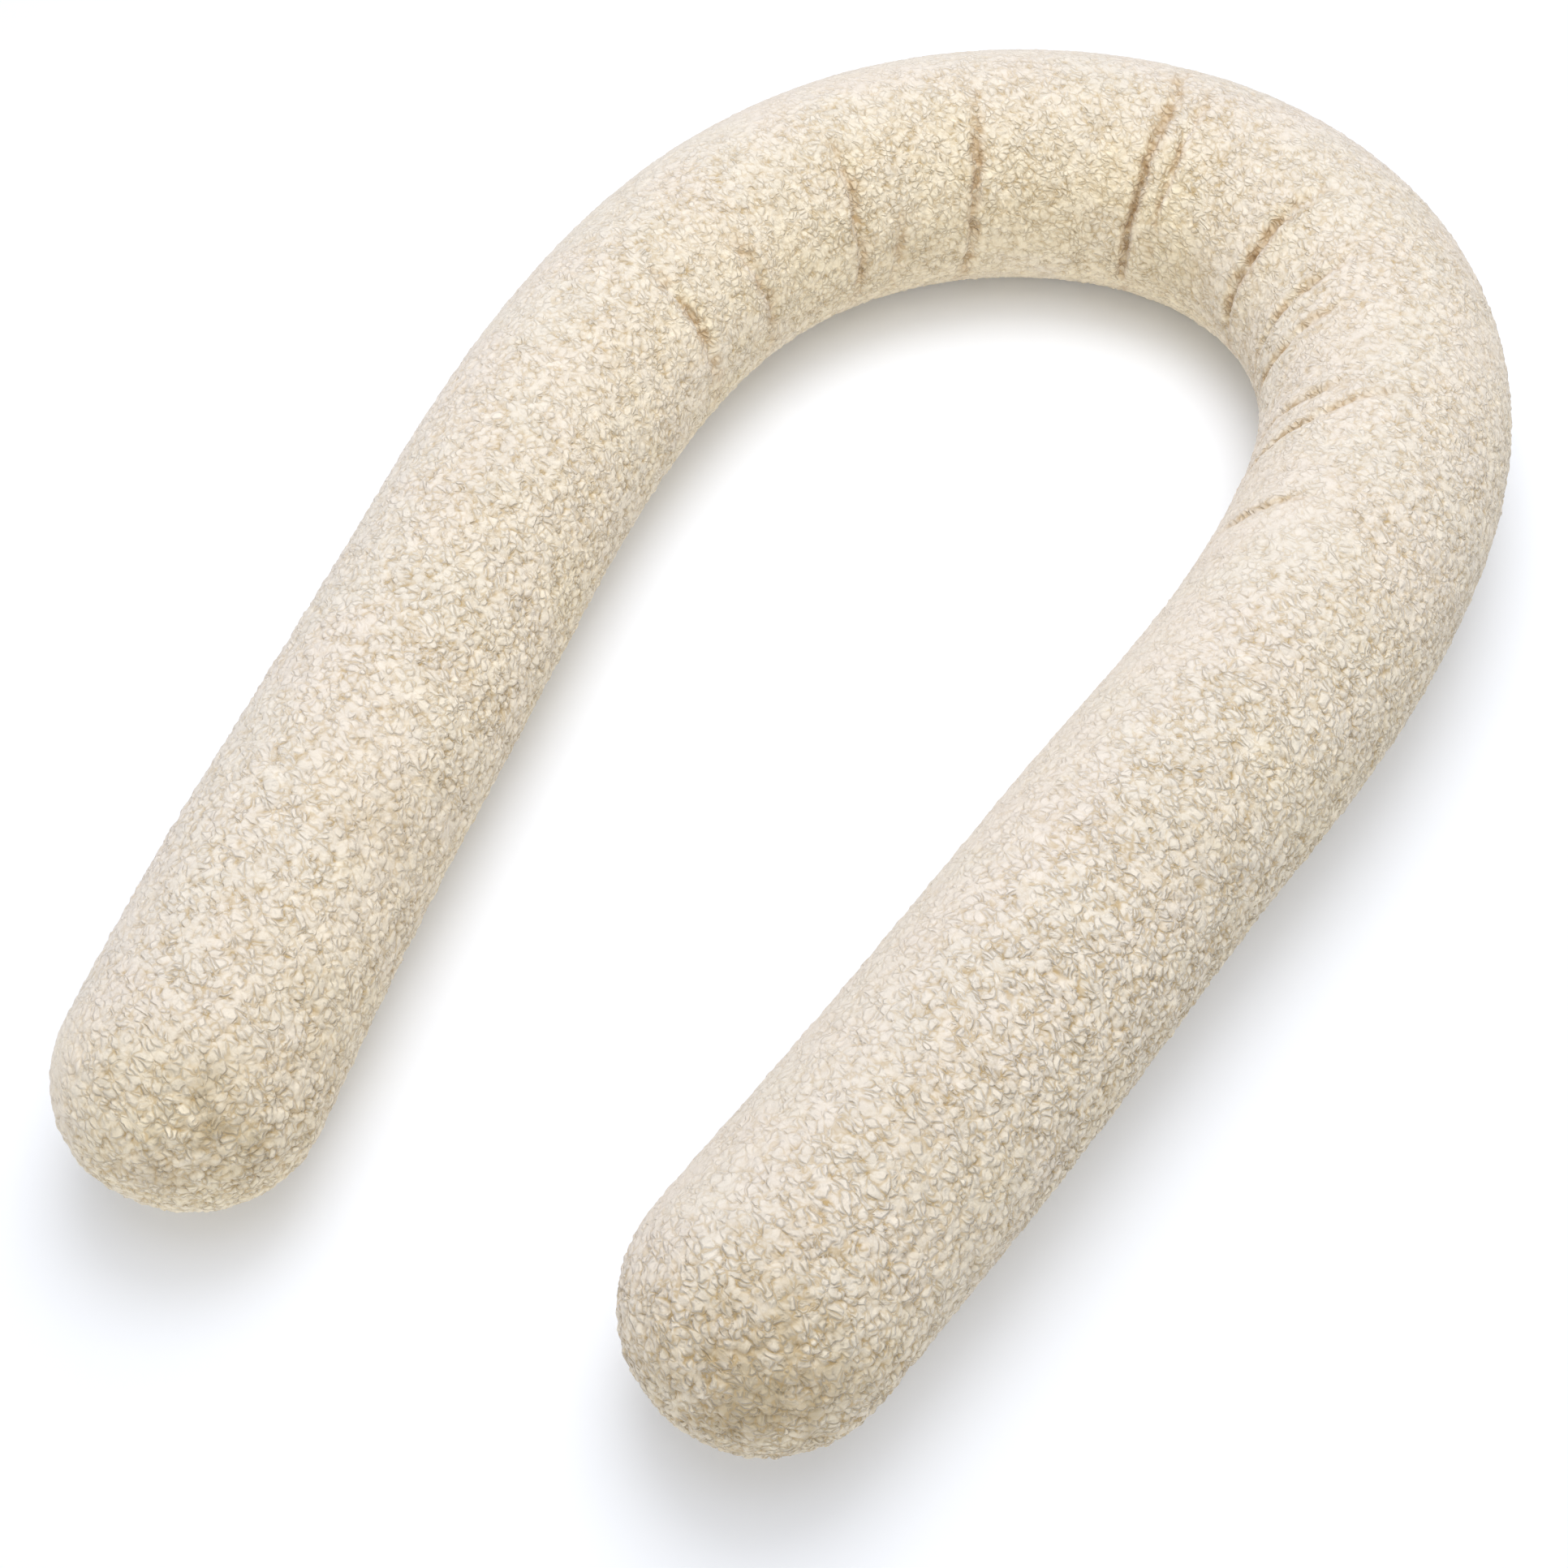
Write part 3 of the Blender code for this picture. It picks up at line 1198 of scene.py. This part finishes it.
@dataclass
class CurlBed:
    """Every curl of the pile: rows of them round the tube, each shaken out of its row.

    The arms have round curls and the bend has worm-like ones, with every size between.
    """

    form: PillowForm
    row_share: float = 0.9
    shake: float = 0.34
    rise: float = 1.25 * MM
    uneven: float = 0.38 * MM
    blend: float = 0.30 * MM
    crack_depth: float = 1.15 * MM
    crack_width: float = 0.62 * MM
    crack_grain: float = 5.0 * MM
    crack_seed: int = 61
    crack_closed: float = 0.45
    crack_over: float = 0.9
    drift: float = 1.6
    drift_grain: float = 0.03
    drift_seed: int = 31
    own_angle: float = 0.9
    growth: float = 0.20
    stretch: tuple[float, float] = (0.85, 1.15)
    bowing: tuple[float, float] = (0.4, 1.3)
    bend_half: float = 0.08
    bend_over: float = 0.30
    deepest_dome: float = -0.4
    table_size: int = 2000
    step: float = 2.0 * MM
    seed: int = 7

    def __post_init__(self) -> None:
        """Lays the rows and gives every curl its place, its directions and its sizes."""
        chance = np.random.default_rng(self.seed)
        self.table_run = np.linspace(0.0, self.form.run_length, self.table_size)
        pitch = self.mixed("pitch", self.table_run) * self.row_share
        step = self.table_run[1]
        rows_so_far = np.concatenate([[0.0], np.cumsum(step / pitch[1:])])
        self.rows = int(rows_so_far[-1])
        self.table_row = rows_so_far * self.rows / rows_so_far[-1]
        middle = np.interp(np.arange(self.rows) + 0.5, self.table_row, self.table_run)
        around = 2.0 * np.pi * self.form.radius(self.form.way_of(middle))
        self.count = np.maximum(3, np.round(around / self.mixed("pitch", middle))).astype(int)
        self.first = np.cumsum(self.count) - self.count
        self.start = chance.uniform(0.0, 1.0, self.rows)
        row = np.repeat(np.arange(self.rows), self.count)
        column = np.arange(len(row)) - self.first[row]
        shaken = chance.uniform(-self.shake, self.shake, (2, len(row)))
        run = np.interp(row + 0.5 + shaken[0], self.table_row, self.table_run)
        turn = ((column + self.start[row] + 0.5 + shaken[1]) / self.count[row] - 0.5) * 2.0 * np.pi
        point, along, round_it, normal = self.form.frame_at(run, turn, self.step)
        drift = self.drift * smooth_noise(point, self.drift_grain, self.drift_seed)
        angle = (np.pi * drift + chance.normal(0.0, self.own_angle, len(row)))[:, None]
        growth = np.exp(chance.normal(0.0, self.growth, len(row)))
        self.place = point
        self.forward = along * np.cos(angle) + round_it * np.sin(angle)
        self.sideways = np.cross(normal, self.forward)
        self.long = self.mixed("long", run) * growth * chance.uniform(*self.stretch, len(row))
        self.wide = self.mixed("wide", run) * growth * chance.uniform(*self.stretch, len(row))
        side = chance.choice([-1.0, 1.0], len(row)) * chance.uniform(*self.bowing, len(row))
        self.bend = self.mixed("bend", run) * side * self.long
        self.base = chance.normal(0.0, self.uneven, len(row))
        self.shade = chance.normal(0.0, 1.0, len(row))

    def mixed(self, name: str, run: np.ndarray) -> np.ndarray:
        """A size of the typical curl at each run: worm-like in the bend, round on the arms.

        Args:
            name: which of CurlSize's sizes.
            run: runs along the skin.

        Returns:
            The sizes, or shares for bend and relief.
        """
        from_middle = np.abs(run / self.form.run_length - 0.5)
        from_bend = ease((from_middle - self.bend_half) / self.bend_over)
        worm, plump = getattr(WORM_CURL, name), getattr(ROUND_CURL, name)
        return worm + (plump - worm) * from_bend

    def outside(self, curl: np.ndarray, points: np.ndarray) -> np.ndarray:
        """How far these points lie outside these curls' outlines, below 0 inside.

        With x along the curl and y across it, the distance is wide * (q - 1), where
        q^2 = (x / long)^2 + ((y - bow) / wide)^2 and bow = bend * ((x / long)^2 - 0.4).

        Args:
            curl: one curl's number for each point.
            points: places on the skin.

        Returns:
            Distances in metres.
        """
        offset = points - self.place[curl]
        x = np.einsum("ij,ij->i", offset, self.forward[curl])
        y = np.einsum("ij,ij->i", offset, self.sideways[curl])
        share = (x / self.long[curl]) ** 2
        bowed = y - self.bend[curl] * (np.minimum(share, 1.5) - 0.4)
        wide = self.wide[curl]
        return wide * (np.sqrt(share + (bowed / wide) ** 2) - 1.0)

    def relief(
        self, points: np.ndarray, run: np.ndarray, turn: np.ndarray
    ) -> tuple[np.ndarray, np.ndarray, np.ndarray]:
        """The pile's surface over places on the skin.

        Each place belongs to the curl whose outline is nearest, and border is half of how much
        farther the next curl's outline is. The height is the curl's own level, going over to
        the next one's at the border, plus a low dome, less crack depth * exp(-(border / width)^2).
        A noise lets some cracks close up.

        Args:
            points, run, turn: the same places in space and on the skin.

        Returns:
            Heights in metres, cracks from 0 to 1, and the shade of the curl.
        """
        far = 10.0 * MM
        near, next_near = np.full(len(run), far), np.full(len(run), far)
        owner, neighbour = np.zeros(len(run), dtype=int), np.zeros(len(run), dtype=int)
        here = np.floor(np.interp(run, self.table_run, self.table_row)).astype(int)
        for row_step in range(-2, 3):
            inside = (here + row_step >= 0) & (here + row_step < self.rows)
            row = np.clip(here + row_step, 0, self.rows - 1)
            across = (turn / (2.0 * np.pi) + 0.5) * self.count[row] - self.start[row]
            middle = np.floor(across).astype(int)
            for column_step in range(-1, 2):
                curl = self.first[row] + (middle + column_step) % self.count[row]
                distance = np.where(inside, self.outside(curl, points), far)
                nearest = distance < near
                second = ~nearest & (distance < next_near)
                neighbour = np.where(nearest, owner, np.where(second, curl, neighbour))
                next_near = np.where(nearest, near, np.where(second, distance, next_near))
                owner = np.where(nearest, curl, owner)
                near = np.where(nearest, distance, near)
        border = (next_near - near) / 2.0
        other = 0.5 * np.exp(-border / self.blend)
        level = self.base[owner] * (1.0 - other) + self.base[neighbour] * other
        closing = smooth_noise(points, self.crack_grain, self.crack_seed)
        open_share = ease((closing + self.crack_closed) / self.crack_over)
        crack = np.exp(-((border / self.crack_width) ** 2)) * open_share
        dome = self.rise * np.clip(-near / self.wide[owner], self.deepest_dome, 1.0)
        height = (level + dome - self.crack_depth * crack) * self.mixed("relief", run)
        return height, crack, self.shade[owner]


# ---------------------------------------------------------------- the pillow's pieces


class Stretch(Enum):
    """The stretches of the pillow, from its left end to its right one, each one mesh."""

    LEFT_END = "left_end"
    LEFT_ARM = "left_arm"
    BEND = "bend"
    RIGHT_ARM = "right_arm"
    RIGHT_END = "right_end"


@dataclass
class Pillow:
    """The stuffed tube in its pile: one closed surface over the form, in five stretches.

    rows, columns: spacings along the tube, and round its upper side, in each stretch.
    under_columns: wider spacings round the underside, from under_turn to under_turn.
    """

    form: PillowForm
    bed: CurlBed
    tone: Tone
    material: bpy.types.Material
    rows: int = 342
    columns: int = 246
    under_columns: int = 40
    under_turn: float = np.radians(124.0)
    proud: float = 0.30 * MM
    fleece_grain: float = 2.6 * MM
    fleece_rise: float = 0.42 * MM
    fleece_seed: int = 41
    first_run: float = 1.5 * MM
    # These two lift the colour with painted light: near the floor, and on the side away from the
    # lamp.
    painted_bounce_lift: float = 1.7
    painted_fill_lift: float = 2.8
    sunk_share: float = 0.3
    low_from: float = 0.3
    parted_pale: float = 0.85
    parted_shaded_side: float = 0.4
    rim_closes: float = 0.5
    fill: float = 0.9
    margin: float = 0.004
    strip: float = 0.006

    def __post_init__(self) -> None:
        """Works out the whole surface once, so that the stretches meet without a seam."""
        total = self.rows * len(Stretch) + 1
        runs = np.linspace(self.first_run, self.form.run_length - self.first_run, total)
        over = np.linspace(-self.under_turn, self.under_turn, self.columns, endpoint=False)
        rest = 2.0 * np.pi - self.under_turn
        under = np.linspace(self.under_turn, rest, self.under_columns, endpoint=False)
        self.across = self.columns + self.under_columns
        self.run, turn = np.meshgrid(runs, np.concatenate([over, under]), indexing="ij")
        self.turn = wrapped(turn)
        skin = self.form.skin(self.run, self.turn)
        outward = self.normals(skin)
        flat, facing = skin.reshape(-1, 3), outward.reshape(-1, 3)
        calm = self.tone.calm(flat, facing)
        height, crack, shade = self.bed.relief(flat, self.run.ravel(), self.turn.ravel())
        fleece = smooth_noise(flat, self.fleece_grain, self.fleece_seed) * self.fleece_rise
        height = (height - self.sunk_share * self.bed.rise) * (1.0 - calm) + fleece + self.proud
        height -= self.tone.groove(self.run.ravel(), self.turn.ravel(), flat)
        lifted = skin + outward * height.reshape(self.run.shape)[..., None]
        lifted[..., 2] = np.maximum(lifted[..., 2], 0.0)
        self.points = lifted
        self.outward = self.normals(lifted)
        self.numbers = self.painted(flat, facing, calm, height)
        # Cracks carry painted shade. Each curl's random tone adds to shade.
        self.numbers["crack"] = crack * (1.0 - calm)
        self.numbers["shade"] += shade * (1.0 - calm)

    def painted(
        self, flat: np.ndarray, facing: np.ndarray, calm: np.ndarray, height: np.ndarray
    ) -> dict[str, np.ndarray]:
        """The numbers that the finish reads, all but what the curls themselves give.

        Args:
            flat: the skin's points, in rows.
            facing: its normals there.
            calm: where the pile lies smooth.
            height: how far the pile stands out, in metres.

        Returns:
            One array for each name in the finish.
        """
        run, turn = self.run.ravel(), self.turn.ravel()
        painted_shade_side = self.tone.painted_shade_side(run, flat, facing)
        rim = self.tone.rim(flat)
        # The lines of painted shade between locks are stronger on the side away from the light.
        line_share_by_side = self.parted_pale + self.parted_shaded_side * painted_shade_side
        parted = (1.0 - calm) * self.tone.near_end(run) * line_share_by_side
        return {
            # Painted shade in the hollows: the lower the pile, the more of the hollow tan.
            "low": np.clip(self.low_from - height / self.bed.crack_depth, 0.0, 1.0),
            # Painted light: lighter near the floor, as if lit from it, and on the side away from the
            # lamp, as if filled.
            "shade": self.painted_bounce_lift * rim + self.painted_fill_lift * self.tone.painted_fill_side(run, facing),
            "parted": parted * (1.0 - self.rim_closes * rim),
            "fineness": np.sqrt(ROUND_CURL.pitch / self.bed.mixed("pitch", run)),
            "folded": self.tone.folded(run, turn, flat),
            "painted_fold_shade": self.tone.painted_fold_shade(run, turn, flat),
            "patched": self.tone.patched(flat),
            "painted_shade_side": painted_shade_side,
        }

    def normals(self, grid: np.ndarray) -> np.ndarray:
        """Outward normals of a grid of points: round the tube crossed with along it.

        Args:
            grid: points, with rings along the first axis.

        Returns:
            Unit vectors on the same grid.
        """
        along = np.gradient(grid, axis=0)
        round_it = np.roll(grid, -1, axis=1) - np.roll(grid, 1, axis=1)
        return unit(np.cross(round_it, along))

    def stretch(self, part: Stretch) -> bpy.types.Object:
        """One stretch as a closed mesh: its rows of quads, with a fan at each end.

        Args:
            part: which stretch.

        Returns:
            The piece.
        """
        number = list(Stretch).index(part)
        rows = slice(number * self.rows, (number + 1) * self.rows + 1)
        grid = self.points[rows]
        tall, across = grid.shape[:2]
        ends = np.array([self.hub(rows.start), self.hub(rows.stop - 1)])
        points = np.concatenate([grid.reshape(-1, 3), ends])
        here = np.arange(tall * across).reshape(tall, across)
        there = np.roll(here, -1, axis=1)
        quads = np.stack([here[:-1], there[:-1], there[1:], here[1:]], axis=-1).reshape(-1, 4)
        hub = np.full(across, tall * across)
        first_fan = np.stack([there[0], here[0], hub], axis=-1)
        last_fan = np.stack([here[-1], there[-1], hub + 1], axis=-1)
        corners = np.concatenate([quads.ravel(), first_fan.ravel(), last_fan.ravel()])
        sizes = np.concatenate([np.full(len(quads), 4), np.full(2 * across, 3)])
        mesh = joined_mesh(f"pillow_{part.value}", points, corners, sizes)
        normals = self.outward[rows].reshape(-1, 3)
        heading = unit(grid[0].mean(axis=0) - grid[1].mean(axis=0))
        farther = unit(grid[-1].mean(axis=0) - grid[-2].mean(axis=0))
        mesh.normals_split_custom_set_from_vertices(np.concatenate([normals, [heading, farther]]))
        for name, values in self.numbers.items():
            kept = values.reshape(self.run.shape)[rows].ravel()
            give_numbers(mesh, name, np.concatenate([kept, [kept[0], kept[-1]]]))
        self.unroll(mesh, tall, across)
        piece = placed(mesh, self.material)
        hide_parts(SOLID)
        return piece

    def hub(self, row: int) -> np.ndarray:
        """The middle of an end: the pole at an end of the pillow, or else the ring's middle.

        Args:
            row: the ring's number over the whole pillow.

        Returns:
            The point.
        """
        last = len(self.points) - 1
        if row in (0, last):
            run = np.array([0.0 if row == 0 else self.form.run_length])
            return self.form.skin(run, np.zeros(1))[0]
        return self.points[row].mean(axis=0)

    def unroll(self, mesh: bpy.types.Mesh, tall: int, across: int) -> None:
        """The map for baking: the stretch unrolled flat, with its two ends as strips beside it.

        Args:
            mesh: the stretch's mesh, its quads first and then the two fans.
            tall, across: its rings and the points in each.
        """
        start = self.margin + self.strip
        along = start + np.arange(tall) / (tall - 1) * (1.0 - 2.0 * start)
        side = self.margin + np.arange(across + 1) / across * (1.0 - 2.0 * self.margin)
        row, column = np.meshgrid(np.arange(tall - 1), np.arange(across), indexing="ij")
        u = np.stack([along[row], along[row], along[row + 1], along[row + 1]], axis=-1)
        v = np.stack([side[column], side[column + 1], side[column + 1], side[column]], axis=-1)
        low, high = side[:-1], side[1:]
        middle = (low + high) / 2.0
        outer, inner = np.full(across, self.margin), np.full(across, along[0])
        fan_u = np.stack([inner, inner, outer], axis=-1)
        first_v = np.stack([high, low, middle], axis=-1)
        last_v = np.stack([low, high, middle], axis=-1)
        all_u = np.concatenate([u.ravel(), fan_u.ravel(), 1.0 - fan_u.ravel()])
        all_v = np.concatenate([v.ravel(), first_v.ravel(), last_v.ravel()])
        layer = mesh.uv_layers.new(name="OFBake")
        layer.data.foreach_set("uv", np.stack([all_u, all_v], axis=-1).astype(np.float32).ravel())

    def build(self) -> list[bpy.types.Object]:
        """All the stretches, from left to right."""
        return [self.stretch(part) for part in Stretch]


# ---------------------------------------------------------------- floor, light and camera


@dataclass(frozen=True)
class Lamp:
    """A round soft lamp that looks at the middle of the pillow.

    power: in watts. size, distance: in metres. bearing: degrees from +X towards +Y.
    elevation: degrees above the floor.
    """

    name: str
    power: float
    size: float
    distance: float
    bearing: float
    elevation: float

    def build(self) -> None:
        """Puts the lamp in the scene."""
        lamp = bpy.data.lights.new(self.name, "AREA")
        lamp.shape = "DISK"
        lamp.size = self.size
        lamp.energy = self.power
        holder = bpy.data.objects.new(self.name, lamp)
        bearing, high = np.radians(self.bearing), np.radians(self.elevation)
        flat = np.cos(high)
        away = np.array([np.cos(bearing) * flat, np.sin(bearing) * flat, np.sin(high)])
        holder.location = away * self.distance
        holder.rotation_euler = (np.pi / 2 - high, 0.0, bearing + np.pi / 2)
        bpy.context.scene.collection.objects.link(holder)


@dataclass
class Studio:
    """A pale floor, soft light from above, from behind and from in front, and the camera."""

    floor_size: float = 12.0
    floor_colour: Colour = (0.888, 0.915, 0.968)
    floor_glow: float = 0.055
    sky_strength: float = 0.525
    sky_colour: Colour = (0.99, 0.99, 1.0)
    top: Lamp = Lamp(name="top", power=21.0, size=2.2, distance=2.4, bearing=90.0, elevation=88.0)
    back: Lamp = Lamp(name="back", power=19.0, size=1.7, distance=2.4, bearing=115.0, elevation=70.0)
    front: Lamp = Lamp(name="front", power=8.5, size=1.8, distance=2.8, bearing=-70.0, elevation=30.0)
    camera_place: tuple[float, float, float] = (0.3998, -0.8654, 1.1867)
    camera_elevation: float = 54.0
    camera_turned: float = 28.0
    lens: float = 52.36
    sensor: float = 36.0

    def floor(self) -> None:
        """A square plane under the pillow."""
        half = self.floor_size / 2.0
        points = np.array([(-half, -half, 0), (half, -half, 0), (half, half, 0), (-half, half, 0)])
        mesh = joined_mesh("pale_floor", points, np.arange(4), np.array([4]))
        material = bpy.data.materials.new("pale_floor")
        material.use_nodes = True
        shader = material.node_tree.nodes["Principled BSDF"]
        shader.inputs["Base Color"].default_value = (*self.floor_colour, 1.0)
        shader.inputs["Roughness"].default_value = 1.0
        shader.inputs["Specular IOR Level"].default_value = 0.0
        shader.inputs["Emission Color"].default_value = (1.0, 1.0, 1.0, 1.0)
        shader.inputs["Emission Strength"].default_value = self.floor_glow
        mesh.materials.append(material)
        floor = bpy.data.objects.new("pale_floor", mesh)
        bpy.context.scene.collection.objects.link(floor)

    def light(self) -> None:
        """The sky and the three soft lamps."""
        world = bpy.data.worlds.new("studio")
        world.use_nodes = True
        background = world.node_tree.nodes["Background"]
        background.inputs["Color"].default_value = (*self.sky_colour, 1.0)
        background.inputs["Strength"].default_value = self.sky_strength
        bpy.context.scene.world = world
        for lamp in (self.top, self.back, self.front):
            lamp.build()

    def camera(self) -> None:
        """The camera at the photo's place and angle."""
        data = bpy.data.cameras.new("camera")
        data.sensor_width = self.sensor
        data.lens = self.lens
        camera = bpy.data.objects.new("camera", data)
        camera.location = self.camera_place
        tilt = np.radians(90.0 - self.camera_elevation)
        camera.rotation_euler = (tilt, 0.0, np.radians(self.camera_turned))
        bpy.context.scene.collection.objects.link(camera)
        bpy.context.scene.camera = camera

    def build(self) -> None:
        """Sets up floor, light, camera and plain colour handling."""
        self.floor()
        self.light()
        self.camera()
        bpy.context.scene.view_settings.view_transform = "Standard"


def triangles(piece: bpy.types.Object) -> int:
    """How many triangles the piece's faces make."""
    return len(piece.data.loops) - 2 * len(piece.data.polygons)


def main() -> None:
    """Builds the pillow and the studio."""
    logging.basicConfig(level=logging.INFO, format="%(message)s")
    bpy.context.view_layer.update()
    form = PillowForm()
    tone = Tone(form)
    material = PileFinish().material()
    pieces = Pillow(form, CurlBed(form), tone, material).build()
    for piece in pieces:
        LOG.info("%s: %d triangles", piece.name, triangles(piece))
    LOG.info("all: %d triangles", sum(map(triangles, pieces)))
    Studio().build()


if __name__ == "__main__":
    main()
